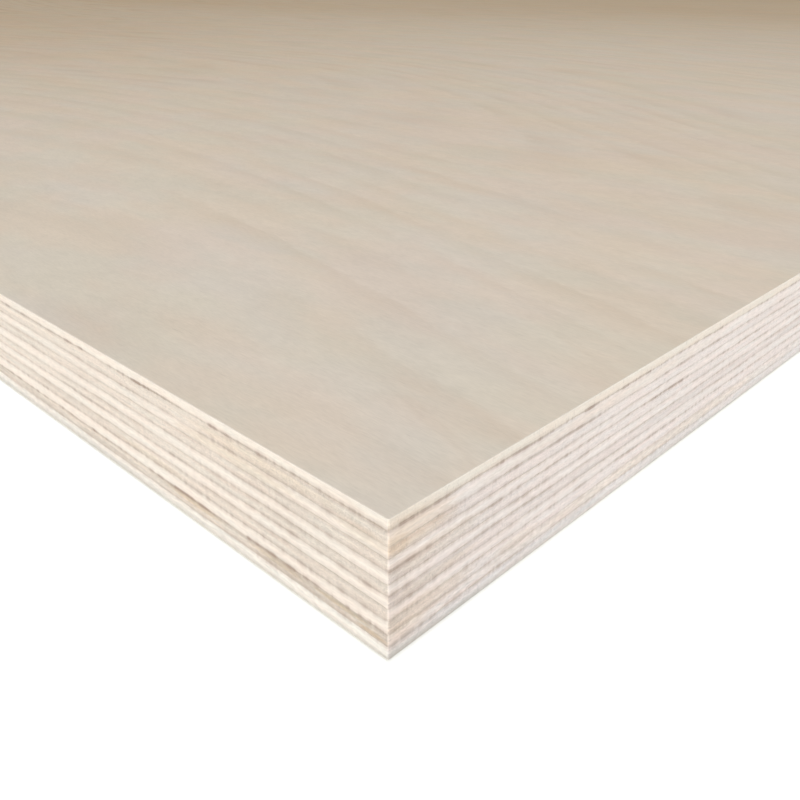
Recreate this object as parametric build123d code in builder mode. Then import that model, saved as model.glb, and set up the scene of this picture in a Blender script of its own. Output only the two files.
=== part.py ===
# A sheet of eleven-ply birch plywood, lying flat with its good face up.
# Millimetres. The origin is the centre of the underside, on the floor the sheet lies on.
# +X runs along the sheet, with the grain of both faces. +Y runs across it, and +Z is up.
from build123d import *
import os

# Trimmed sheet
sheet_length = 2440.0
sheet_width = 1220.0

# Veneers from the top down, each as thick as it left the press and the sander. The grain
# turns by a right angle from one to the next, and the good face has been sanded the most
face_veneer = 1.15
cross_ply_02 = 1.6
long_ply_03 = 1.3
cross_ply_04 = 1.2
long_ply_05 = 1.4
cross_ply_06 = 1.2
long_ply_07 = 1.35
cross_ply_08 = 1.35
long_ply_09 = 1.5
cross_ply_10 = 1.35
back_veneer = 1.6

# What the sandpaper takes off every outer corner and arris of the trimmed sheet
eased_edge = 0.2

parts_folder = "parts"

lay_up = {
    "face_veneer": face_veneer,
    "cross_ply_02": cross_ply_02,
    "long_ply_03": long_ply_03,
    "cross_ply_04": cross_ply_04,
    "long_ply_05": long_ply_05,
    "cross_ply_06": cross_ply_06,
    "long_ply_07": long_ply_07,
    "cross_ply_08": cross_ply_08,
    "long_ply_09": long_ply_09,
    "cross_ply_10": cross_ply_10,
    "back_veneer": back_veneer,
}


def write_ply(name, thickness, underside):
    """Make one veneer with its underside at that height, and write it to its own file."""
    with BuildPart() as ply:
        with BuildSketch(Plane.XY.offset(underside)):
            Rectangle(sheet_length, sheet_width)
        extrude(amount=thickness)
        worn_edges = ply.edges().filter_by(Axis.Z)
        if name == "face_veneer":
            worn_edges += ply.faces().sort_by(Axis.Z)[-1].edges()
        if name == "back_veneer":
            worn_edges += ply.faces().sort_by(Axis.Z)[0].edges()
        fillet(worn_edges, radius=eased_edge)
    ply.part.label = name
    export_step(ply.part, os.path.join(parts_folder, f"{name}.step"))


os.makedirs(parts_folder, exist_ok=True)

# The stack is laid up from the floor, so each veneer rests on the one below it
height = 0.0
for name, thickness in reversed(lay_up.items()):
    write_ply(name, thickness, height)
    height += thickness

print(f"{len(lay_up)} plies, {height:.2f} mm thick")
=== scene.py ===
"""The looks of a birch plywood sheet: sawn edges, glue lines, sanded faces, a pale floor and soft light."""
import math

import bpy
import numpy as np
from mathutils import Matrix, Vector
from mathutils.geometry import delaunay_2d_cdt


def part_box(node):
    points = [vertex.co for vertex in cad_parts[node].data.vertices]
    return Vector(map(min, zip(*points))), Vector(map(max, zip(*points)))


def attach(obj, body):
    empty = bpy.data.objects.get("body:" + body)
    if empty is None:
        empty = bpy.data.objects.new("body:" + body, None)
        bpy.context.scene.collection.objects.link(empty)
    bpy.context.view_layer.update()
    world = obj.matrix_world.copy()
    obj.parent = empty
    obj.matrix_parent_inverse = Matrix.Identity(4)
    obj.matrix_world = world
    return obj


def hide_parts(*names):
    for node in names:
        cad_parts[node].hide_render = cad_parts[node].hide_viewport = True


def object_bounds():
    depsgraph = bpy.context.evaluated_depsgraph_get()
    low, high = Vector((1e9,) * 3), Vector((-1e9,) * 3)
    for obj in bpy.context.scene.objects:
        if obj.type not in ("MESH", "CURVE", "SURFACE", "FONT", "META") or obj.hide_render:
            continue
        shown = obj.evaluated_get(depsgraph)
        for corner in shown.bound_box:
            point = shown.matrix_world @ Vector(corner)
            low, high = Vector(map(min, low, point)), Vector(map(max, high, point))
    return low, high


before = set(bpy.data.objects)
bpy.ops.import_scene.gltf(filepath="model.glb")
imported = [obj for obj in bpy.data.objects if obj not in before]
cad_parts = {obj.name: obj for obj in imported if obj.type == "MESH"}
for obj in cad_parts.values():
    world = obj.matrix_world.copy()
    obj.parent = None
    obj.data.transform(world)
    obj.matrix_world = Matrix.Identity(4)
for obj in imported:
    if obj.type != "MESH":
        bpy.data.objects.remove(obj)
cad_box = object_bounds()

MM = 0.001
TURN = 2 * math.pi
LOW, HIGH = (Vector(corner) for corner in cad_box)
LENGTH, WIDTH = (HIGH - LOW).xy
NEAR_CORNER = Vector((HIGH.x, LOW.y, HIGH.z))

# The veneers from the top down. The odd ones have their grain along the sheet, the even ones across it
PLIES = (
    "face_veneer",
    "cross_ply_02",
    "long_ply_03",
    "cross_ply_04",
    "long_ply_05",
    "cross_ply_06",
    "long_ply_07",
    "cross_ply_08",
    "long_ply_09",
    "cross_ply_10",
    "back_veneer",
)

# How dark each glue line shows on the long edges and on the ends, and how uneven it is, from the top down
GLUE_ON_LONG_EDGE = (1.05, 0.5, 0.15, 0.5, 0.2, 0.6, 0.3, 0.5, 1.1, 0.2)
GLUE_ON_END = (1.0, 0.7, 0.4, 0.9, 0.35, 0.55, 0.5, 0.55, 0.15, 0.25)
LINE_UNEVENNESS = (1.0, 1.0, 1.0, 1.0, 1.5, 1.2, 1.1, 1.6, 1.6, 1.8)

# Stretches where a glue line is darker than elsewhere, or fainter: the line, the edge, the distance from
# the photographed corner to its middle and its length in millimetres, and its strength
LINE_STRETCHES = (
    (1, "front", 1, 3, 0.5),
    (1, "front", 4, 2, 0.5),
    (1, "front", 8, 14, 0.3),
    (1, "front", 11, 3, 0.5),
    (1, "front", 17, 4, 0.6),
    (1, "front", 24, 2, 0.7),
    (1, "front", 37, 5, 0.7),
    (1, "front", 53, 3, 0.4),
    (2, "front", 3, 8, -0.8),
    (2, "front", 20, 16, 0.6),
    (3, "front", 5, 14, -0.8),
    (6, "front", 4, 5, 0.5),
    (6, "front", 13, 3, 0.5),
    (7, "front", 4, 12, -0.9),
    (7, "front", 21, 16, 0.5),
    (8, "front", 34, 6, 0.7),
    (8, "front", 4, 4, 0.8),
    (9, "front", 14, 6, 0.6),
    (9, "front", 29, 10, 1.2),
    (9, "front", 9, 6, 0.4),
    (1, "end", 5, 10, 0.8),
    (1, "end", 12, 30, 0.3),
    (1, "end", 11, 2, 0.5),
    (1, "end", 29.5, 4, 1.0),
    (1, "end", 38, 6, 0.5),
    (2, "end", 3, 7, -0.7),
    (2, "end", 27, 10, 0.9),
    (2, "end", 57, 4, 0.8),
    (3, "end", 3, 7, -0.6),
    (4, "end", 2, 4, 0.5),
    (4, "end", 14, 3, 0.7),
    (4, "end", 31, 3, 0.7),
    (4, "end", 46, 11, 0.8),
    (5, "end", 19, 10, 0.5),
    (6, "end", 15, 12, 0.6),
    (7, "end", 3, 3, 0.8),
    (8, "end", 40, 12, 0.8),
    (9, "end", 4, 4, -0.6),
    (9, "end", 14, 16, 0.3),
    (10, "end", 14, 14, 0.3),
    (10, "end", 2, 4, 0.8),
    (10, "end", 9, 2, 0.9),
)

# How mottled each veneer is, and how much brown stain it has on the long edges and on the ends, from the
# top down. The back veneer's stain on the end is partly painted shade near the floor
MOTTLING = (1.0, 1.2, 1.2, 1.2, 1.2, 1.2, 1.2, 1.2, 1.2, 2.2, 1.8)
STAIN_ON_LONG_EDGE = (0.0, 0.15, 0.2, 0.2, 0.1, 0.2, 0.05, 0.3, 0.05, 1.0, 0.0)
STAIN_ON_END = (0.0, 0.0, 0.05, 0.0, 0.15, 0.0, 0.4, 0.1, 0.1, 0.2, 0.3)

# Warm patches: the edge, the distance from that corner and the depth below the face of the middle,
# the length and height in millimetres, and the strength
WARM_PATCHES = (
    ("front", 2, 13.0, 4, 0.6, 1.4),
    ("front", 6, 12.4, 9, 0.6, 1.1),
    ("front", 15, 12.5, 10, 0.8, 0.7),
    ("front", 29, 12.4, 12, 0.9, 0.9),
    ("front", 3, 3.0, 8, 2.0, 0.35),
    ("front", 21, 3.4, 22, 1.5, 0.5),
    ("front", 17, 2.0, 26, 1.5, 0.4),
    ("front", 37, 10.2, 16, 1.2, 0.4),
    ("end", 0.5, 3.0, 5, 2.4, 0.5),
    ("end", 4, 3.4, 11, 1.4, 0.4),
    ("end", 2, 12.3, 7, 1.8, 0.3),
    ("end", 6, 5.6, 14, 2.4, 0.45),
    ("end", 6, 8.6, 13, 1.3, 0.5),
    ("end", 18, 11.6, 9, 1.6, 0.4),
    ("end", 3, 2.4, 12, 3.6, 0.6),
    ("end", 4, 11.2, 16, 2.6, 0.6),
    ("end", 46, 12.7, 66, 1.7, 0.4),
    ("end", 36, 2.0, 56, 1.5, 0.3),
)

# The shape of the cut edges
CORNER_RADIUS = 0.2 * MM
TOP_ARRIS = 0.07 * MM
BOTTOM_ARRIS = 0.22 * MM
ARC_STEPS = 4
FINE_STEP, COARSE_STEP = 0.5 * MM, 6 * MM
FINE_STRETCH = 100 * MM
STEP_GROWTH = 0.012

# Glue lines: each wavers in height, and a shallow groove of uneven depth follows it
WAVES = 6
WAVE_SPREAD = (0.85, 1.15)
LINE_WAVE, LINE_WAVE_LENGTHS, LINE_SEED = 0.045 * MM, (90 * MM, 7 * MM), 100
GROOVE_DEPTH, GROOVE_WAVE_LENGTHS, GROOVE_SEED = 0.05 * MM, (30 * MM, 4 * MM), 200
GROOVE_MEAN, GROOVE_SWING = 0.6, 0.4
GROOVE_REACH, GROOVE_SHOULDER = 0.16 * MM, 0.4

# The faces: how far inside the rim their fill starts, and the grid of points in it
CAP_INSET = 3 * MM
CAP_GRID = 60 * MM
TRIANGLES_INSIDE = 1
MERGE_DISTANCE = 1e-9

# The kinds of faces of a veneer, which are also the places of their materials
EDGE, UNDERSIDE, TOP = 0, 1, 2

# The texture map, 1 by 1: the sawn edge in rows at the foot, an open face above them, and a small square
# for a hidden one. A rectangle is its left side, its foot, its width and its height
ROWS_BY_OPEN_FACE, ROWS_BY_HIDDEN_FACES = 16, 32
ROWS_TOP_BY_OPEN_FACE, ROWS_TOP_BY_HIDDEN_FACES = 0.5, 0.97
ROW_GAP = 0.12
OPEN_FACE_MAP = (0.004, 0.508, 0.992, 0.488)
HIDDEN_MAP_BY_OPEN_FACE, HIDDEN_MAP = (0.0, 0.502, 0.002, 0.002), (0.0, 0.975, 0.02, 0.02)

# Colours as they show in a plain light, in linear values, except that the grain colours for the long edges
# and for the ends differ by painted light and shade of the two sides. The second group multiplies the first
LONG_GRAIN_ON_LONG_EDGE = (0.90, 0.815, 0.718)
LONG_GRAIN_ON_END = (0.89, 0.81, 0.75)
END_GRAIN_ON_LONG_EDGE = (0.835, 0.745, 0.645)
END_GRAIN_ON_END = (0.88, 0.795, 0.74)
SANDED_FACE = (0.613, 0.537, 0.450)
GLUE = (0.33, 0.222, 0.165)
FOOT_SOIL_AND_SHADE = (0.47, 0.45, 0.42)
FLOOR_WHITE = (0.92, 0.92, 0.92)
WHITE = (1.0, 1.0, 1.0)

FACE_PLY_ON_LONG_EDGE, FACE_PLY_ON_END = (1.0, 1.0, 0.99), (1.015, 1.02, 0.95)
# The back veneer's cooler tint is partly painted shade near the floor, and partly its own hue
BACK_PLY = (1.0, 1.04, 1.07)
STAIN = (0.785, 0.77, 0.755)
WARM = (0.93, 0.875, 0.77)
WORN_END = (1.0, 0.972, 0.942)
PINKER, GREENER = (1.015, 0.992, 0.982), (0.985, 1.004, 1.008)
YELLOWER, BLUER = (1.002, 1.0, 0.98), (0.998, 1.0, 1.018)
LATE_WOOD = (0.90, 0.865, 0.835)
DARK_FLECK = (0.93, 0.90, 0.88)
HEART_WOOD = (0.97, 0.935, 0.895)

# Nodes: the sockets of the two colours of a mix, how much more a pattern shifts along Y and Z than along
# X, and the gain that spreads a noise about 0.5 to about -1 to 1
FIRST_COLOUR, SECOND_COLOUR = 6, 7
SHIFT_ALONG_Y, SHIFT_ALONG_Z = 1.7, 2.3
NOISE_GAIN = 4.0

# Patterns of the sawn edges: the size of their features in millimetres along X, Y and Z, what they add to
# the seed, their detail and their roughness. Growth rings lie flat in a peeled veneer, so rings and
# bands show as lines along the edge. Speckle is open fibres, and checks are cuts of the knife
EDGE_PATTERNS = {
    "ring": ((7, 7, 0.15), 0, 2.0, 0.6),
    "band": ((16, 16, 0.36), 3, 2.0, 0.55),
    "flake": ((0.9, 0.9, 0.2), 11, 2.0, 0.65),
    "speckle": ((0.16, 0.16, 0.12), 5, 1.0, 0.6),
    "check": ((0.24, 0.24, 0.7), 9, 1.0, 0.5),
    "hue": ((6, 6, 0.9), 15, 2.0, 0.55),
    "patch": ((11, 11, 0.7), 21, 2.0, 0.5),
}
EDGE_SEED = 7.3
SOIL_AND_SHADE_PATTERN, SOIL_AND_SHADE_SEED = ((14, 14, 2), 0, 2.0, 0.5), 60.0

# Patterns along the glue lines. Both veneers beside a line read them at the same height, so that they
# agree, and this is how far those heights are apart in metres
LINE_PATTERN = ((1.1, 1.1, 5), 0, 3.0, 0.75)
SLOW_LINE_PATTERN = ((9, 9, 5), 40, 1.0, 0.5)
LINE_LAYER = 0.01

# What the patterns do to the brightness of long grain and of end grain, where the face veneer's are
# fainter, and to the relief
LONG_GRAIN_SHADES = {"ring": 0.035, "band": 0.045, "mottle": 0.085}
END_GRAIN_SHADES = {"speckle": 0.11, "band": 0.075, "mottle": 0.075}
END_GRAIN_MARKS = {"dark_ring": -0.10, "stroke": -0.11}
FACE_PLY_FAINTNESS = 0.5
RING_RELIEF, END_GRAIN_RELIEF = 0.3, {"speckle": 0.5, "stroke": -1.0}
EDGE_RELIEF_MM = 0.012

# Soft steps, here and below, are written as the values where the step starts and ends, and then what it
# gives before and after, where that isn't 0 and 1
DARK_RING, KNIFE_STROKE = (0.2, 1.3), (0.4, 1.1)
EDGE_HUE = (-0.8, 0.8)
STAIN_PATCH = (-0.9, 1.0, 0.2, 1.4)
EDGE_ROUGHNESS = (-1.5, 1.5, 0.64, 0.78)
TOWARDS_END, TOWARDS_FRONT = (0.3, 0.8), (-0.8, -0.3, 1.0, 0.0)
WARM_FADE, WARM_RAGGEDNESS = (0.1, 1.2), 0.35

# Wear and painted shade, by the distance from a corner along the edge: end grain darker, and bruised in
# the veneers between the given one and the back, the end yellowed and in painted shadow, glue lines blurred
DARKER_BESIDE_CORNER, DARKER_BESIDE_CORNER_FACE_PLY = (3 * MM, 24 * MM, -0.06, 0.0), (3 * MM, 24 * MM, -0.02, 0.0)
BRUISED, BRUISED_BELOW = (1 * MM, 5 * MM, -0.08, 0.0), 3
YELLOWED = (1 * MM, 7 * MM, 1.0, 0.0)
END_SHADOW = (0.5 * MM, 2 * MM, -0.04, 0.0)
BLURRED = (5 * MM, 42 * MM, 1.0, 0.0)

# A glue line's roughness, and where a stretch of its own has its full strength and where it ends, as
# shares of its length away from its middle
LINE_ROUGHNESS, SLOW_LINE_ROUGHNESS = 1.2, 0.6
STRETCH_FULL, STRETCH_END = 0.25, 0.6

# A glue line's dark core: its half width in millimetres, the share of it that is fully dark, and its
# strength
CORE_WIDTH, CORE_WIDTH_BY_ROUGHNESS, CORE_FULL = 0.19, 0.06, 0.2
CORE_DARKNESS, CORE_STRENGTH, CORE_STRENGTH_WHERE_BLURRED = (-0.6, 1.5, 0.14, 1.1), 0.80, 0.75

# The soft border that the glue leaves in the wood: its reach in millimetres, and its strength
BORDER_REACH, BORDER_REACH_WHERE_BLURRED, BORDER_REACH_BY_ROUGHNESS = 0.56, 0.68, 0.08
BORDER_DARKNESS, BORDER_STRENGTH_WHERE_BLURRED = (-1.3, 1.6, 0.09, 0.27), 1.6

# Arrises: the upright ones get a painted highlight, and the upper ones are sanded like the face
ROUND_CORNER, CORNER_PAINTED_HIGHLIGHT = (0.15, 0.5), 0.08
SANDED_ARRIS = (0.25, 0.85)

# Soil from handling and painted shade at the foot of the sheet: its strength, its reach up the edge in
# millimetres, and the lower arris, where the sawn edge turns under and gets painted light
SOIL_AND_SHADE_MEAN, SOIL_AND_SHADE_SWING = 0.40, 0.14
SOIL_AND_SHADE_ON_END = (2 * MM, 26 * MM, 1.25, 0.3)
SOIL_AND_SHADE_REACH, SOIL_AND_SHADE_REACH_ON_END = (10 * MM, 45 * MM, 0.75, 1.35), 1.15
SOIL_AND_SHADE_START, SOIL_AND_SHADE_FADE_FROM = (0.05, 0.4, 0.4, 1.0), 0.35
UNDER_THE_EDGE, FOOT_PAINTED_LIGHT, FOOT_PAINTED_LIGHT_ON_END = (-0.7, -0.1, 1.0, 0.0), 0.05, 0.2

# The figure of the faces: rows of arches along the sheet, as the knife unrolled the log. The first row
# is placed from the photographed long edge. The rows wander from side to side, and their tips point
# along the sheet
ARCH_WIDTH = 205 * MM
FIRST_ARCHES = 92.35 * MM
RINGS_IN_ARCH = 4.1
RING_TAPER = 75 * MM
WANDER, WANDER_LENGTH = 55 * MM, 900 * MM
ARCH_SWAY = 0.7
RING_SWAYS = {"taper": 1.3, "ragged": 0.07, "beads": 0.04}

# Patterns of the faces, as for the edges
FACE_PATTERNS = {
    "sway": ((420, 260, 1), 0, 1.0, 0.4),
    "taper": ((330, 260, 1), 2, 1.0, 0.4),
    "ragged": ((14, 4, 1), 4, 2.0, 0.6),
    "beads": ((3.2, 1.8, 1), 7, 2.0, 0.6),
    "fading": ((40, 12, 1), 6, 2.0, 0.6),
    "fibre": ((11, 0.5, 1), 3, 2.0, 0.6),
    "fine": ((1.1, 0.16, 1), 5, 1.0, 0.5),
    "hole": ((3.2, 0.30, 1), 8, 1.0, 0.5),
    "mottle": ((30, 13, 1), 13, 3.0, 0.65),
    "hue": ((24, 11, 1), 15, 2.0, 0.6),
    "cloud": ((34, 22, 1), 21, 2.0, 0.6),
    "broad": ((650, 240, 1), 17, 1.0, 0.5),
}
FLECK_PATTERN, FLECK_SLANT = ((48, 5, 1), 9, 3.0, 0.65), -0.3
FACE_SEED, BACK_SEED = 4.0, 31.0
FACE_SHADES = {"fibre": 0.015, "fine": 0.04, "beads": 0.03, "pore": -0.08, "mottle": 0.028}
FACE_RELIEF, FACE_RELIEF_MM = {"fibre": 0.5, "fine": 0.4, "pore": -1.2}, 0.01

# Soft steps of the faces. Late wood darkens slowly through a ring and ends sharply
RING_DARKENS, RING_ENDS = (0.3, 0.85), (0.86, 1.0, 1.0, 0.0)
LATE_WOOD_FADING, LATE_WOOD_BEADS = (-0.7, 1.1, 0.1, 1.0), (-1.0, 1.0, 0.4, 1.3)
LATE_WOOD_ALONG = (150 * MM, 1000 * MM, 0.6, 1.3)
PORE, FLECK = (0.9, 1.4), (0.55, 1.6, 0.0, 0.8)
FACE_HUE, FACE_CLOUD, FACE_HEART = (-0.5, 0.5), (-0.6, 0.6), (-1.0, 1.2)

# Surfaces
SAWN_GLOSS = 0.3
SANDED_ROUGHNESS, SANDED_GLOSS = 0.82, 0.0
GLUED_ROUGHNESS, GLUED_GLOSS = 0.8, 0.2
FLOOR_ROUGHNESS, FLOOR_GLOSS = 0.9, 0.1

# Floor: how far it reaches, how much it glows to the camera, and the painted shadow line where the sheet
# meets it, with how far out that fades and how dark it starts
FLOOR_REACH = 30.0
FLOOR_GLOW, FLOOR_GLOW_TINT = 0.5, (0.97, 1.0, 1.14)
CONTACT_BY_END, CONTACT_BY_LONG_EDGE = 1.3 * MM, 0.75 * MM
CONTACT_SHADE = (0.69, 0.675, 0.605)

# Light: a warm even sky, a low window and a warm fill across from it, a cooler lamp over the near corner
# that fades along the sheet, and a second one over the far end. Places are metres from the near corner,
# and the far lamp's are from the far end, the sheet's middle line and its face
SKY_LIGHT = (0.40, 0.338, 0.245, 1.0)
WINDOW_PLACE, WINDOW_POWER, WINDOW_SPREAD = Vector((0.45, -0.80, 0.40)), 1.3, math.radians(40)
FILL_PLACE, FILL_POWER, FILL_SPREAD = Vector((-0.45, 0.80, 0.30)), 0.65, math.radians(60)
FILL_TINT = (1.0, 0.9, 0.6)
OVERHEAD_PLACE, OVERHEAD_POWER, OVERHEAD_SIZE = Vector((0.12, -0.05, 0.70)), 4.2, 0.5
OVERHEAD_TINT = (0.64, 0.783, 1.0)
FAR_PLACE, FAR_POWER, FAR_SIZE = Vector((0.45, 0.18, 0.80)), 3.4, 1.2
FAR_TINT = (0.78, 0.86, 1.0)

# Camera, placed from the sheet's near top corner: its lens in pixels and its sensor in millimetres, its
# angles in degrees, where in the picture and how deep the corner lies, and how near and how far it sees
FRAME_PIXELS = 800
FOCAL_PIXELS = 844
SENSOR_WIDTH = 36
YAW, PITCH, ROLL = 43.63, 27.70, 0.56
CORNER_PIXEL = (388.5, 519.6)
CORNER_DEPTH = 66.1 * MM
NEAREST, FARTHEST = 5 * MM, 100


def wave(distance, seed, longest, shortest):
    """A smooth random line along the rim, within about -1 to 1."""
    rng = np.random.default_rng(seed)
    lengths = np.geomspace(longest, shortest, WAVES)
    phases = rng.uniform(0, TURN, WAVES)
    lengths = lengths * rng.uniform(*WAVE_SPREAD, WAVES)
    total = sum(np.sin(TURN * distance / length + phase) for length, phase in zip(lengths, phases))
    return total / math.sqrt(WAVES)


def side_steps(length, fine_at_start):
    """Distances along one side, close together near the photographed corner and wider apart beyond."""
    if not fine_at_start:
        return np.linspace(0, length, round(length / COARSE_STEP) + 1)
    steps = [0.0]
    while steps[-1] < length:
        beyond = max(0.0, steps[-1] - FINE_STRETCH)
        steps.append(steps[-1] + min(COARSE_STEP, FINE_STEP + STEP_GROWTH * beyond))
    return np.array(steps) * length / steps[-1]


class Rim:
    """The trimmed outline, counter-clockwise from the photographed corner.

    It keeps its places, their outward normals, their distances along it, its length and its count.
    """

    def __init__(self):
        half_l, half_w = LENGTH / 2 - CORNER_RADIUS, WIDTH / 2 - CORNER_RADIUS
        centres = np.array([(half_l, -half_w), (half_l, half_w), (-half_l, half_w), (-half_l, -half_w)])
        long_side, short_side = 2 * half_l, 2 * half_w
        straights = (
            side_steps(short_side, True),
            side_steps(long_side, False),
            side_steps(short_side, False),
            long_side - side_steps(long_side, True)[::-1],
        )
        places, normals = [], []
        for i, (centre, steps) in enumerate(zip(centres, straights)):
            start = math.radians(90 * i - 90)
            for angle in np.linspace(start, start + math.pi / 2, ARC_STEPS + 1)[:-1]:
                normals.append(np.array([math.cos(angle), math.sin(angle)]))
                places.append(centre + CORNER_RADIUS * normals[-1])
            out = np.array([math.cos(start + math.pi / 2), math.sin(start + math.pi / 2)])
            along = np.array([-out[1], out[0]])
            for step in steps[:-1]:
                normals.append(out)
                places.append(centre + CORNER_RADIUS * out + step * along)
        self.places = np.array(places)
        self.normals = np.array(normals)
        hops = np.linalg.norm(np.roll(self.places, -1, axis=0) - self.places, axis=1)
        self.distance = np.concatenate([[0.0], np.cumsum(hops)[:-1]])
        self.length = hops.sum()
        self.count = len(places)

    def ring(self, inward, height):
        """The outline moved inwards and lifted, both of which may vary along it."""
        xy = self.places - self.normals * np.broadcast_to(inward, self.count)[:, None]
        return np.column_stack([xy, np.broadcast_to(height, self.count)])

    def inner_loop(self):
        """The outline of the caps, a little inside the rim."""
        return self.places * np.array([1 - CAP_INSET / (LENGTH / 2), 1 - CAP_INSET / (WIDTH / 2)])


class Cap:
    """The points and triangles that fill the outline inside the rim, the same for every veneer."""

    def __init__(self, rim):
        xs = np.arange(-LENGTH / 2 + CAP_GRID, LENGTH / 2 - CAP_GRID / 2, CAP_GRID)
        ys = np.arange(-WIDTH / 2 + CAP_GRID, WIDTH / 2 - CAP_GRID / 2, CAP_GRID)
        self.points = np.vstack([rim.inner_loop(), [(x, y) for x in xs for y in ys]])
        sides = [(i, (i + 1) % rim.count) for i in range(rim.count)]
        places = [Vector(point) for point in self.points]
        found = delaunay_2d_cdt(places, sides, [], TRIANGLES_INSIDE, MERGE_DISTANCE)
        faces, origin = found[2], [ids[0] for ids in found[3]]
        self.triangles = np.array([[origin[v] for v in face] for face in faces])
        # Triangles that face down are turned round
        a, b, c = (self.points[self.triangles[:, i]] for i in range(3))
        area = (b[:, 0] - a[:, 0]) * (c[:, 1] - a[:, 1]) - (b[:, 1] - a[:, 1]) * (c[:, 0] - a[:, 0])
        self.triangles[area < 0] = self.triangles[area < 0][:, ::-1]

    def layer(self, height):
        return np.column_stack([self.points, np.full(len(self.points), height)])


def glue_height(rim, line, height):
    """The height of a glue line along the rim: pressed veneers leave it a little wavy."""
    return height + LINE_WAVE * wave(rim.distance, LINE_SEED + line, *LINE_WAVE_LENGTHS)


def groove_depth(rim, line):
    swing = wave(rim.distance, GROOVE_SEED + line, *GROOVE_WAVE_LENGTHS).clip(-1, 1)
    return GROOVE_DEPTH * (GROOVE_MEAN + GROOVE_SWING * swing)


def section(rim, number, low, high):
    """One veneer's sawn edge, from its lower to its upper boundary, as rings of (inward, height)."""
    rows = []
    if number == len(PLIES):
        for angle in np.radians(np.linspace(-90, 0, ARC_STEPS + 1)):
            rows.append((BOTTOM_ARRIS * (1 - math.cos(angle)), low + BOTTOM_ARRIS * (1 + math.sin(angle))))
    else:
        bottom, depth = glue_height(rim, number, low), groove_depth(rim, number)
        rows.append((depth, bottom))
        rows.append((GROOVE_SHOULDER * depth, bottom + GROOVE_SHOULDER * GROOVE_REACH))
        rows.append((0.0, bottom + GROOVE_REACH))
    rows.append((0.0, (low + high) / 2))
    if number == 1:
        for angle in np.radians(np.linspace(0, 90, ARC_STEPS + 1)):
            rows.append((TOP_ARRIS * (1 - math.cos(angle)), high - TOP_ARRIS * (1 - math.sin(angle))))
    else:
        top, depth = glue_height(rim, number - 1, high), groove_depth(rim, number - 1)
        rows.append((0.0, top - GROOVE_REACH))
        rows.append((GROOVE_SHOULDER * depth, top - GROOVE_SHOULDER * GROOVE_REACH))
        rows.append((depth, top))
    return rows


def closed_skin(rim, cap, rows, low, high):
    """A veneer's points, quads and triangles, and the kind of each face."""
    rings = [rim.ring(inward, height) for inward, height in rows]
    points = np.vstack(rings + [cap.layer(low), cap.layer(high)])
    n, levels = rim.count, len(rows)
    here = np.arange(n)
    there = (here + 1) % n
    # Where the points of the last ring, of the underside and of the top start
    last, underside, top = (levels - 1) * n, levels * n, levels * n + len(cap.points)
    quads = []
    for start in range(0, last, n):
        above = start + n
        quads.append(np.column_stack([start + here, start + there, above + there, above + here]))
    quads.append(np.column_stack([there, here, underside + here, underside + there]))
    quads.append(np.column_stack([last + here, last + there, top + there, top + here]))
    triangles = np.vstack([cap.triangles[:, ::-1] + underside, cap.triangles + top])
    fill = len(cap.triangles)
    kinds = np.repeat([EDGE, UNDERSIDE, TOP, UNDERSIDE, TOP], [last, n, n, fill, fill])
    return points, np.vstack(quads), triangles, kinds


def add_heights(mesh, rim, rows):
    """How far each point of the edge lies below the veneer's top and above its foot, in millimetres."""
    heights = np.array([np.broadcast_to(height, rim.count) for _inward, height in rows])
    on_caps = np.zeros(len(mesh.vertices) - heights.size)
    for name, values in (("above", heights[-1] - heights), ("below", heights - heights[0])):
        attribute = mesh.attributes.new(name, "FLOAT", "POINT")
        values = np.concatenate([values.ravel() / MM, on_caps])
        attribute.data.foreach_set("value", values.astype(np.float32))


def edge_map(rim, starts, along, across, row_count, top):
    """Places on the map for the sawn edge: rows with a gap between them, each a stretch of the rim."""
    stretch = rim.length / row_count
    row = np.minimum((starts // stretch).astype(int), row_count - 1)
    u = (along - row * stretch + COARSE_STEP) / (stretch + 2 * COARSE_STEP)
    height = top / row_count
    v = row * height + ROW_GAP * height + across.clip(0, 1) * height * (1 - 2 * ROW_GAP)
    return np.column_stack([u, v])


def face_map(places, left, foot, width, height):
    """Places on the map for a face, fitted into that rectangle."""
    x = (places[:, 0] + LENGTH / 2) / LENGTH
    y = (places[:, 1] + WIDTH / 2) / WIDTH
    return np.column_stack([left + width * x, foot + height * y])


def add_map(mesh, rim, kinds, points, low, high, number):
    """The piece's own texture map, with a place for each corner of each face."""
    corners = np.empty(len(mesh.loops), np.int32)
    mesh.loops.foreach_get("vertex_index", corners)
    owner = np.repeat(np.arange(len(mesh.polygons)), [polygon.loop_total for polygon in mesh.polygons])
    open_face = number in (1, len(PLIES))
    row_count = ROWS_BY_OPEN_FACE if open_face else ROWS_BY_HIDDEN_FACES
    rows_top = ROWS_TOP_BY_OPEN_FACE if open_face else ROWS_TOP_BY_HIDDEN_FACES

    # A quad starts at the point of its own number on the rim, and the last one ends at the first point
    n = rim.count
    start = owner % n
    at_seam = (corners % n == 0) & (start == n - 1)
    along = np.where(at_seam, rim.length, rim.distance[corners % n])
    across = (points[corners, 2] - low) / (high - low)
    places = edge_map(rim, rim.distance[start], along, across, row_count, rows_top)

    shown = open_face & (kinds[owner] == (TOP if number == 1 else UNDERSIDE))
    hidden = (kinds[owner] != EDGE) & ~shown
    places[shown] = face_map(points[corners], *OPEN_FACE_MAP)[shown]
    hidden_map = HIDDEN_MAP_BY_OPEN_FACE if open_face else HIDDEN_MAP
    places[hidden] = face_map(points[corners], *hidden_map)[hidden]
    uv = mesh.uv_layers.new(name="OFBake")
    uv.data.foreach_set("uv", places.astype(np.float32).ravel())


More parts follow.
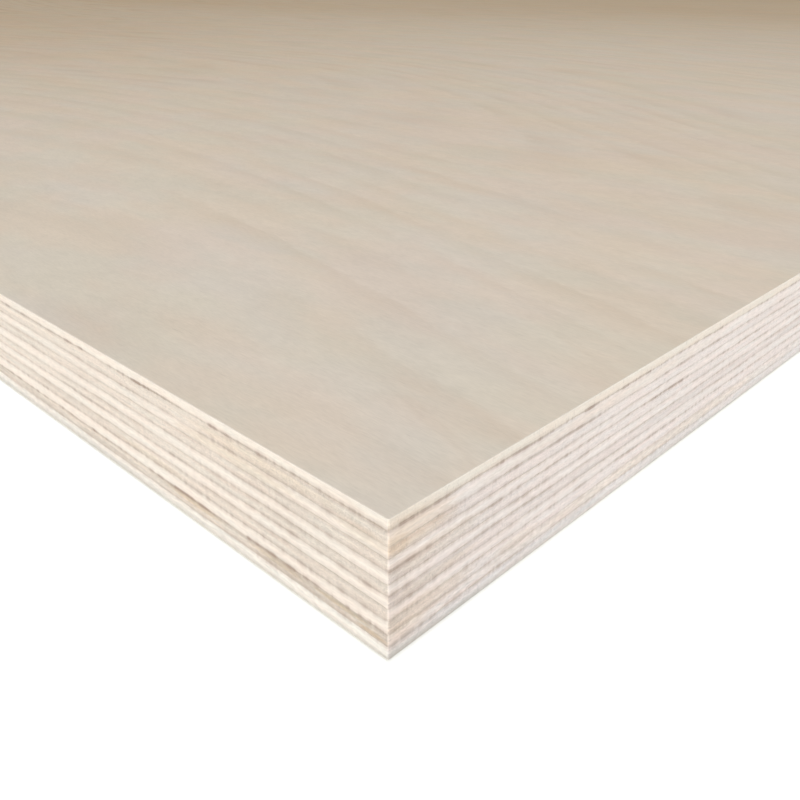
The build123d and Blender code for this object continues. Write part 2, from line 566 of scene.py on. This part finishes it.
def make_ply(rim, cap, number, materials):
    """A closed veneer. Its rim is the sawn edge; its caps are its two faces."""
    node = PLIES[number - 1]
    low, high = (corner.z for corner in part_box(node))
    rows = section(rim, number, low, high)
    points, quads, triangles, kinds = closed_skin(rim, cap, rows, low, high)
    mesh = bpy.data.meshes.new(f"{node}_trimmed")
    mesh.from_pydata(points.tolist(), [], quads.tolist() + triangles.tolist())
    for material in materials:
        mesh.materials.append(material)
    mesh.polygons.foreach_set("material_index", kinds.astype(np.int32))
    mesh.polygons.foreach_set("use_smooth", kinds == EDGE)
    add_heights(mesh, rim, rows)
    add_map(mesh, rim, kinds, points, low, high, number)
    mesh.validate()
    piece = bpy.data.objects.new(f"{node}_trimmed", mesh)
    bpy.context.scene.collection.objects.link(piece)
    kind = node.split("_")[0]
    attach(piece, "root")
    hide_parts(node)


class Graph:
    """Short forms for the nodes of one material."""

    def __init__(self, name):
        self.material = bpy.data.materials.new(name)
        self.material.use_nodes = True
        self.tree = self.material.node_tree
        self.shader = self.tree.nodes["Principled BSDF"]
        coords = self.tree.nodes.new("ShaderNodeTexCoord")
        self.place = coords.outputs["Object"]
        self.normal = coords.outputs["Normal"]

    def put(self, value, socket):
        if isinstance(value, bpy.types.NodeSocket):
            self.tree.links.new(value, socket)
        elif isinstance(value, tuple) and len(value) == 3 and len(socket.default_value) == 4:
            socket.default_value = (*value, 1.0)
        else:
            socket.default_value = value

    def math(self, operation, *values):
        node = self.tree.nodes.new("ShaderNodeMath")
        node.operation = operation
        for value, socket in zip(values, node.inputs):
            self.put(value, socket)
        return node.outputs[0]

    def add(self, a, b):
        return self.math("ADD", a, b)

    def times(self, a, b):
        return self.math("MULTIPLY", a, b)

    def less(self, a, b):
        return self.math("SUBTRACT", a, b)

    def size(self, a):
        return self.math("ABSOLUTE", a)

    def split(self, vector):
        node = self.tree.nodes.new("ShaderNodeSeparateXYZ")
        self.put(vector, node.inputs[0])
        return node.outputs

    def join(self, x, y, z):
        node = self.tree.nodes.new("ShaderNodeCombineXYZ")
        for value, socket in zip((x, y, z), node.inputs):
            self.put(value, socket)
        return node.outputs[0]

    def grain(self, vector, sizes_mm, offset):
        """The place, measured in features of these sizes along X, Y and Z."""
        node = self.tree.nodes.new("ShaderNodeMapping")
        node.inputs["Scale"].default_value = [1 / (size * MM) for size in sizes_mm]
        node.inputs["Location"].default_value = (offset, offset * SHIFT_ALONG_Y, offset * SHIFT_ALONG_Z)
        self.put(vector, node.inputs["Vector"])
        return node.outputs[0]

    def noise(self, vector, detail, rough):
        """Smooth random values about 0, mostly within -1 to 1."""
        node = self.tree.nodes.new("ShaderNodeTexNoise")
        node.inputs["Scale"].default_value = 1.0
        node.inputs["Detail"].default_value = detail
        node.inputs["Roughness"].default_value = rough
        node.inputs["Distortion"].default_value = 0.0
        self.put(vector, node.inputs["Vector"])
        return self.math("MULTIPLY_ADD", node.outputs[0], NOISE_GAIN, -NOISE_GAIN / 2)

    def pattern(self, vector, seed, sizes_mm, shift, detail, rough):
        return self.noise(self.grain(vector, sizes_mm, seed + shift), detail, rough)

    def weigh(self, patterns, shares):
        """The patterns added up, each times its share."""
        total = 0.0
        for name, share in shares.items():
            total = self.math("MULTIPLY_ADD", patterns[name], share, total)
        return total

    def step(self, value, low, high, to_low=0.0, to_high=1.0):
        """A soft step of value between low and high."""
        node = self.tree.nodes.new("ShaderNodeMapRange")
        node.interpolation_type = "SMOOTHSTEP"
        for item, socket in zip((value, low, high, to_low, to_high), node.inputs):
            self.put(item, socket)
        return node.outputs[0]

    def mix(self, factor, a, b, blend="MIX"):
        node = self.tree.nodes.new("ShaderNodeMix")
        node.data_type = "RGBA"
        node.blend_type = blend
        self.put(factor, node.inputs["Factor"])
        self.put(a, node.inputs[FIRST_COLOUR])
        self.put(b, node.inputs[SECOND_COLOUR])
        return node.outputs[2]

    def tint(self, wood, colour):
        """One colour times the other."""
        return self.mix(1.0, wood, colour, "MULTIPLY")

    def partly_tint(self, share, wood, colour):
        """The wood as it is where the share is 0, and tinted where it is 1."""
        return self.mix(share, wood, self.tint(wood, colour))

    def blend_by(self, factor, a, b):
        """The number a where factor is 0, and b where it is 1."""
        return self.math("MULTIPLY_ADD", factor, b - a, a)

    def shade(self, colour, amount):
        """The colour times 1 + amount."""
        node = self.tree.nodes.new("ShaderNodeVectorMath")
        node.operation = "SCALE"
        self.put(colour, node.inputs[0])
        self.put(self.add(amount, 1.0), node.inputs["Scale"])
        return node.outputs[0]

    def attribute(self, name):
        node = self.tree.nodes.new("ShaderNodeAttribute")
        node.attribute_name = name
        return node.outputs["Fac"]

    def bump(self, height, distance_mm):
        node = self.tree.nodes.new("ShaderNodeBump")
        node.inputs["Distance"].default_value = distance_mm * MM
        node.inputs["Strength"].default_value = 1.0
        self.put(height, node.inputs["Height"])
        self.put(node.outputs[0], self.shader.inputs["Normal"])

    def finish(self, colour, roughness, gloss):
        self.put(colour, self.shader.inputs["Base Color"])
        self.put(roughness, self.shader.inputs["Roughness"])
        self.shader.inputs["Specular IOR Level"].default_value = gloss
        return self.material


class SawnEdge(Graph):
    """One veneer's sawn edge: long grain on two sides, end grain on the others, and its glue lines."""

    def __init__(self, number):
        super().__init__(f"sawn_edge_{number:02d}")
        self.number = number
        self.x, self.y, self.z = self.split(self.place)
        self.nx, self.ny, self.nz = self.split(self.normal)
        self.on_end = self.step(self.size(self.nx), *TOWARDS_END)
        self.end_grain = self.on_end if number % 2 else self.less(1.0, self.on_end)
        self.distances = {"front": self.less(HIGH.x, self.x), "end": self.less(self.y, LOW.y)}
        self.edges = {"front": self.step(self.ny, *TOWARDS_FRONT), "end": self.step(self.nx, *TOWARDS_END)}
        # The distance along the edge to the nearest corner of the sheet
        outwards = self.add(self.size(self.x), self.size(self.y))
        self.beside_corner = self.less((LENGTH + WIDTH) / 2, outwards)
        self.blurred = self.step(self.beside_corner, *BLURRED)
        self.patterns = {}
        for name, row in EDGE_PATTERNS.items():
            self.patterns[name] = self.pattern(self.place, EDGE_SEED * number, *row)
        self.patterns["mottle"] = self.times(self.patterns["flake"], MOTTLING[number - 1])
        self.patterns["dark_ring"] = self.step(self.patterns["ring"], *DARK_RING)
        self.patterns["stroke"] = self.step(self.patterns["check"], *KNIFE_STROKE)

    def paint(self):
        wood = self.mix(self.end_grain, self.long_grain_colour(), self.end_grain_colour())
        wood = self.own_hue(wood)
        wood = self.stained(wood)
        for line, side in ((self.number - 1, "above"), (self.number, "below")):
            if 0 < line < len(PLIES):
                wood = self.glued(wood, line, side)
        wood = self.arrises_lit_shaded_and_sanded(wood)
        if self.number == len(PLIES):
            wood = self.soiled_and_shaded(wood)
        relief = self.times(self.end_grain, self.weigh(self.patterns, END_GRAIN_RELIEF))
        relief = self.math("MULTIPLY_ADD", self.patterns["ring"], RING_RELIEF, relief)
        self.bump(relief, EDGE_RELIEF_MM)
        return self.finish(wood, self.step(self.patterns["ring"], *EDGE_ROUGHNESS), SAWN_GLOSS)

    def long_grain_colour(self):
        # The long edges and the ends get their own colour: painted light and shade of the two sides
        colour = self.mix(self.on_end, LONG_GRAIN_ON_LONG_EDGE, LONG_GRAIN_ON_END)
        return self.shade(colour, self.weigh(self.patterns, LONG_GRAIN_SHADES))

    def end_grain_colour(self):
        """End grain, with dark rings and the knife's strokes, darker and bruised beside the corner."""
        soft = self.weigh(self.patterns, END_GRAIN_SHADES)
        if self.number == 1:
            soft = self.times(soft, FACE_PLY_FAINTNESS)
        corner_darkening = self.step(self.beside_corner, *(DARKER_BESIDE_CORNER_FACE_PLY if self.number == 1 else DARKER_BESIDE_CORNER))
        if BRUISED_BELOW < self.number < len(PLIES):
            bruised = self.times(self.on_end, self.step(self.beside_corner, *BRUISED))
            corner_darkening = self.add(corner_darkening, bruised)
        marks = self.weigh(self.patterns, END_GRAIN_MARKS)
        # The long edges and the ends get their own colour: painted light and shade of the two sides
        colour = self.mix(self.on_end, END_GRAIN_ON_LONG_EDGE, END_GRAIN_ON_END)
        return self.shade(colour, self.add(corner_darkening, self.add(marks, soft)))

    def own_hue(self, wood):
        """Some places are pinker and some greener, the face veneer has a tint of its own, and the back
        veneer's tint is partly painted shade near the floor.
        """
        greener = self.step(self.patterns["hue"], *EDGE_HUE)
        wood = self.tint(wood, self.mix(greener, PINKER, GREENER))
        if self.number == 1:
            wood = self.tint(wood, self.mix(self.on_end, FACE_PLY_ON_LONG_EDGE, FACE_PLY_ON_END))
        if self.number == len(PLIES):
            wood = self.tint(wood, BACK_PLY)
        return wood

    def stained(self, wood):
        """Brown stain, more in some veneers than in others and on the back veneer's end partly painted
        shade, warm patches, and a yellowed corner.
        """
        index = self.number - 1
        share = self.blend_by(self.on_end, STAIN_ON_LONG_EDGE[index], STAIN_ON_END[index])
        share = self.times(share, self.step(self.patterns["patch"], *STAIN_PATCH))
        wood = self.partly_tint(share, wood, STAIN)
        low, high = (corner.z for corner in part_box(PLIES[index]))
        for edge, distance, depth, length, tall, strength in WARM_PATCHES:
            middle, reach_up = HIGH.z - depth * MM, tall * MM / 2
            if low - reach_up < middle < high + reach_up:
                aside = self.times(self.less(self.distances[edge], distance * MM), 2 / (length * MM))
                upright = self.times(self.less(self.z, middle), 2 / (tall * MM))
                reach = self.add(self.times(aside, aside), self.times(upright, upright))
                reach = self.add(reach, self.times(self.patterns["flake"], WARM_RAGGEDNESS))
                share = self.times(self.edges[edge], self.step(reach, *WARM_FADE, strength, 0.0))
                wood = self.partly_tint(share, wood, WARM)
        yellowed = self.times(self.on_end, self.step(self.beside_corner, *YELLOWED))
        return self.partly_tint(yellowed, wood, WORN_END)

    def line_roughness(self, line):
        """How far the glue line strays from its usual look along its way: darker above 0, fainter below."""
        here = self.join(self.x, self.y, LINE_LAYER * line)
        uneven = self.pattern(here, line, *LINE_PATTERN)
        slow = self.pattern(here, line, *SLOW_LINE_PATTERN)
        uneven = self.times(uneven, LINE_ROUGHNESS * LINE_UNEVENNESS[line - 1])
        rough = self.add(uneven, self.times(slow, SLOW_LINE_ROUGHNESS))
        for row_line, edge, middle, length, extra in LINE_STRETCHES:
            if row_line == line:
                full, end = STRETCH_FULL * length * MM, STRETCH_END * length * MM
                off = self.size(self.less(self.distances[edge], middle * MM))
                rough = self.add(rough, self.times(self.edges[edge], self.step(off, full, end, extra, 0.0)))
        return rough

    def glued(self, wood, line, side):
        """A soft dark border in the wood, wider beside the worn corner, and broken strokes at the joint."""
        rough = self.line_roughness(line)
        reach = self.blend_by(self.blurred, BORDER_REACH, BORDER_REACH_WHERE_BLURRED)
        reach = self.add(reach, self.times(rough, BORDER_REACH_BY_ROUGHNESS))
        border = self.less(1.0, self.step(self.attribute(side), 0.0, reach))
        border = self.times(border, self.blend_by(self.blurred, 1.0, BORDER_STRENGTH_WHERE_BLURRED))
        wood = self.mix(self.times(border, self.step(rough, *BORDER_DARKNESS)), wood, GLUE)

        width = self.add(CORE_WIDTH, self.times(rough, CORE_WIDTH_BY_ROUGHNESS))
        core = self.less(1.0, self.step(self.attribute(side), self.times(width, CORE_FULL), width))
        strength = self.blend_by(self.on_end, GLUE_ON_LONG_EDGE[line - 1], GLUE_ON_END[line - 1])
        strength = self.times(strength, self.blend_by(self.blurred, 1.0, CORE_STRENGTH_WHERE_BLURRED))
        dark = self.times(strength, self.step(rough, *CORE_DARKNESS))
        return self.mix(self.times(core, self.times(dark, CORE_STRENGTH)), wood, GLUE)

    def arrises_lit_shaded_and_sanded(self, wood):
        """The upright arris gets a painted highlight, the end a painted shadow right beside it, and the
        upper arris is sanded.
        """
        # A painted highlight on the upright arris, and painted shade on the end right beside it
        along, across = (self.step(self.size(turn), *ROUND_CORNER) for turn in (self.nx, self.ny))
        arris = self.times(along, across)
        shadow = self.times(self.on_end, self.step(self.beside_corner, *END_SHADOW))
        wood = self.shade(wood, self.add(self.times(arris, CORNER_PAINTED_HIGHLIGHT), shadow))
        return self.mix(self.step(self.nz, *SANDED_ARRIS), wood, SANDED_FACE)

    def soiled_and_shaded(self, wood):
        """The foot of the sheet is darkened by soil from handling and by painted shade, and its lower arris
        gets painted light.
        """
        height = self.attribute("below")
        noise = self.pattern(self.place, SOIL_AND_SHADE_SEED, *SOIL_AND_SHADE_PATTERN)
        # Soil and painted shade together, darkest near the foot
        soil_and_shade = self.add(SOIL_AND_SHADE_MEAN, self.times(noise, SOIL_AND_SHADE_SWING))
        on_end = self.times(self.on_end, self.step(self.beside_corner, *SOIL_AND_SHADE_ON_END))
        soil_and_shade = self.times(soil_and_shade, self.add(self.less(1.0, self.on_end), on_end))
        soil_and_shade = self.times(soil_and_shade, self.step(height, *SOIL_AND_SHADE_START))
        reach = self.step(self.beside_corner, *SOIL_AND_SHADE_REACH)
        reach = self.add(reach, self.times(self.on_end, self.less(SOIL_AND_SHADE_REACH_ON_END, reach)))
        soil_and_shade = self.times(self.step(height, SOIL_AND_SHADE_FADE_FROM, reach, 1.0, 0.0), soil_and_shade)
        wood = self.mix(soil_and_shade, wood, FOOT_SOIL_AND_SHADE)
        # Painted light on the lower arris, stronger on the end
        painted_foot_light = self.blend_by(self.on_end, FOOT_PAINTED_LIGHT, FOOT_PAINTED_LIGHT_ON_END)
        return self.shade(wood, self.times(self.step(self.nz, *UNDER_THE_EDGE), painted_foot_light))


class SandedFace(Graph):
    """A sanded rotary-cut birch face, its grain along the sheet."""

    def __init__(self, name, seed):
        super().__init__(name)
        x, y, _z = self.split(self.place)
        self.along, self.across = self.less(HIGH.x, x), self.less(y, LOW.y)
        flat = self.join(x, y, 0.0)
        slanted = self.join(x, self.add(y, self.times(self.along, FLECK_SLANT)), 0.0)
        self.patterns = {kind: self.pattern(flat, seed, *row) for kind, row in FACE_PATTERNS.items()}
        self.patterns["pore"] = self.step(self.patterns["hole"], *PORE)
        self.patterns["fleck"] = self.step(self.pattern(slanted, seed, *FLECK_PATTERN), *FLECK)

    def late_wood(self):
        """Where the dark late wood of the growth rings shows, and how strongly."""
        wander = self.math("SINE", self.times(self.along, TURN / WANDER_LENGTH))
        aside = self.less(self.across, self.math("MULTIPLY_ADD", wander, WANDER, FIRST_ARCHES))
        sway = self.times(self.patterns["sway"], ARCH_SWAY)
        arch = self.math("COSINE", self.math("MULTIPLY_ADD", aside, TURN / ARCH_WIDTH, sway))
        age = self.add(self.times(self.along, 1 / RING_TAPER), self.times(arch, RINGS_IN_ARCH))
        part = self.math("FRACT", self.add(age, self.weigh(self.patterns, RING_SWAYS)))
        late = self.times(self.step(part, *RING_DARKENS), self.step(part, *RING_ENDS))
        late = self.times(late, self.step(self.patterns["fading"], *LATE_WOOD_FADING))
        late = self.times(late, self.step(self.patterns["beads"], *LATE_WOOD_BEADS))
        return self.times(late, self.step(self.along, *LATE_WOOD_ALONG))

    def paint(self):
        colour = self.shade(SANDED_FACE, self.weigh(self.patterns, FACE_SHADES))
        colour = self.tint(colour, self.mix(self.step(self.patterns["hue"], *FACE_HUE), PINKER, GREENER))
        colour = self.tint(colour, self.mix(self.step(self.patterns["cloud"], *FACE_CLOUD), YELLOWER, BLUER))
        colour = self.partly_tint(self.late_wood(), colour, LATE_WOOD)
        colour = self.partly_tint(self.step(self.patterns["broad"], *FACE_HEART), colour, HEART_WOOD)
        colour = self.partly_tint(self.patterns["fleck"], colour, DARK_FLECK)
        self.bump(self.weigh(self.patterns, FACE_RELIEF), FACE_RELIEF_MM)
        return self.finish(colour, SANDED_ROUGHNESS, SANDED_GLOSS)


def seen_directly(tree):
    """1 for what the camera sees, straight or by a mirror or glass, and 0 for light that falls on things."""
    path = tree.nodes.new("ShaderNodeLightPath")
    seen = path.outputs["Is Camera Ray"]
    for kind in ("Is Glossy Ray", "Is Transmission Ray"):
        either = tree.nodes.new("ShaderNodeMath")
        either.operation = "MAXIMUM"
        tree.links.new(seen, either.inputs[0])
        tree.links.new(path.outputs[kind], either.inputs[1])
        seen = either.outputs[0]
    return seen


def white_floor():
    """A pale floor that shows white to the camera and keeps the sheet's soft shadow, with a painted shadow
    line where the sheet meets it.
    """
    mesh = bpy.data.meshes.new("floor")
    corners = [(a * FLOOR_REACH, b * FLOOR_REACH, 0) for a, b in ((-1, -1), (1, -1), (1, 1), (-1, 1))]
    mesh.from_pydata(corners, [], [(0, 1, 2, 3)])
    floor = bpy.data.objects.new("floor", mesh)
    bpy.context.scene.collection.objects.link(floor)
    g = Graph("floor_white")
    x, y, _z = g.split(g.place)
    # A painted shadow line along the sheet's outline, darkest where the sheet meets the floor
    off_end = g.times(g.less(g.size(x), LENGTH / 2), 1 / CONTACT_BY_END)
    off_side = g.times(g.less(g.size(y), WIDTH / 2), 1 / CONTACT_BY_LONG_EDGE)
    clear = g.step(g.math("MAXIMUM", off_end, off_side), 0.0, 1.0)
    contact = g.mix(clear, CONTACT_SHADE, WHITE)
    g.finish(g.tint(contact, FLOOR_WHITE), FLOOR_ROUGHNESS, FLOOR_GLOSS)
    g.put(g.tint(contact, FLOOR_GLOW_TINT), g.shader.inputs["Emission Color"])
    g.put(g.times(seen_directly(g.tree), FLOOR_GLOW), g.shader.inputs["Emission Strength"])
    mesh.materials.append(g.material)


def white_world():
    """A sky that shows white to the camera and gives a warm even light."""
    world = bpy.data.worlds.new("studio")
    bpy.context.scene.world = world
    world.use_nodes = True
    tree = world.node_tree
    background = tree.nodes["Background"]
    colour = tree.nodes.new("ShaderNodeMix")
    colour.data_type = "RGBA"
    colour.inputs[FIRST_COLOUR].default_value = SKY_LIGHT
    colour.inputs[SECOND_COLOUR].default_value = (*WHITE, 1.0)
    tree.links.new(seen_directly(tree), colour.inputs["Factor"])
    tree.links.new(colour.outputs[2], background.inputs["Color"])
    background.inputs["Strength"].default_value = 1.0


def lamp(name, kind, place, target, **settings):
    data = bpy.data.lights.new(name, kind)
    for key, value in settings.items():
        setattr(data, key, value)
    light = bpy.data.objects.new(name, data)
    light.location = place
    light.rotation_euler = (target - place).to_track_quat("-Z", "Y").to_euler()
    bpy.context.scene.collection.objects.link(light)


def add_lights():
    window, fill = NEAR_CORNER + WINDOW_PLACE, NEAR_CORNER + FILL_PLACE
    lamp("window", "SUN", window, NEAR_CORNER, energy=WINDOW_POWER, angle=WINDOW_SPREAD)
    lamp("fill", "SUN", fill, NEAR_CORNER, energy=FILL_POWER, angle=FILL_SPREAD, color=FILL_TINT)
    down = Vector((0, 0, -1))
    near, far = NEAR_CORNER + OVERHEAD_PLACE, Vector((LOW.x, 0, HIGH.z)) + FAR_PLACE
    lamp("overhead", "AREA", near, near + down, energy=OVERHEAD_POWER, size=OVERHEAD_SIZE,
         color=OVERHEAD_TINT)
    lamp("overhead_far", "AREA", far, far + down, energy=FAR_POWER, size=FAR_SIZE, color=FAR_TINT)


def add_camera():
    """The camera, turned and set so that the sheet's near top corner shows at its pixel."""
    yaw, pitch, roll = (math.radians(angle) for angle in (YAW, PITCH, ROLL))
    look = Vector((-math.sin(yaw) * math.cos(pitch), math.cos(yaw) * math.cos(pitch), -math.sin(pitch)))
    right = look.cross(Vector((0, 0, 1))).normalized()
    up = right.cross(look)
    right, up = right * math.cos(roll) + up * math.sin(roll), up * math.cos(roll) - right * math.sin(roll)
    middle = FRAME_PIXELS / 2
    aside = (CORNER_PIXEL[0] - middle) / FOCAL_PIXELS * CORNER_DEPTH
    below = (CORNER_PIXEL[1] - middle) / FOCAL_PIXELS * CORNER_DEPTH
    data = bpy.data.cameras.new("camera")
    data.sensor_width = SENSOR_WIDTH
    data.lens = FOCAL_PIXELS / FRAME_PIXELS * SENSOR_WIDTH
    data.clip_start = NEAREST
    data.clip_end = FARTHEST
    camera = bpy.data.objects.new("camera", data)
    place = NEAR_CORNER - right * aside + up * below - look * CORNER_DEPTH
    turn = Matrix((right, up, -look)).transposed().to_4x4()
    camera.matrix_world = Matrix.Translation(place) @ turn
    bpy.context.scene.collection.objects.link(camera)
    bpy.context.scene.camera = camera


bpy.context.scene.view_settings.view_transform = "Standard"

rim = Rim()
cap = Cap(rim)
hidden_face = Graph("glued_face").finish(END_GRAIN_ON_LONG_EDGE, GLUED_ROUGHNESS, GLUED_GLOSS)
for number in range(1, len(PLIES) + 1):
    bottom_face = top_face = hidden_face
    if number == 1:
        top_face = SandedFace("sanded_face", FACE_SEED).paint()
    if number == len(PLIES):
        bottom_face = SandedFace("sanded_back", BACK_SEED).paint()
    make_ply(rim, cap, number, (SawnEdge(number).paint(), bottom_face, top_face))

white_floor()
white_world()
add_lights()
add_camera()
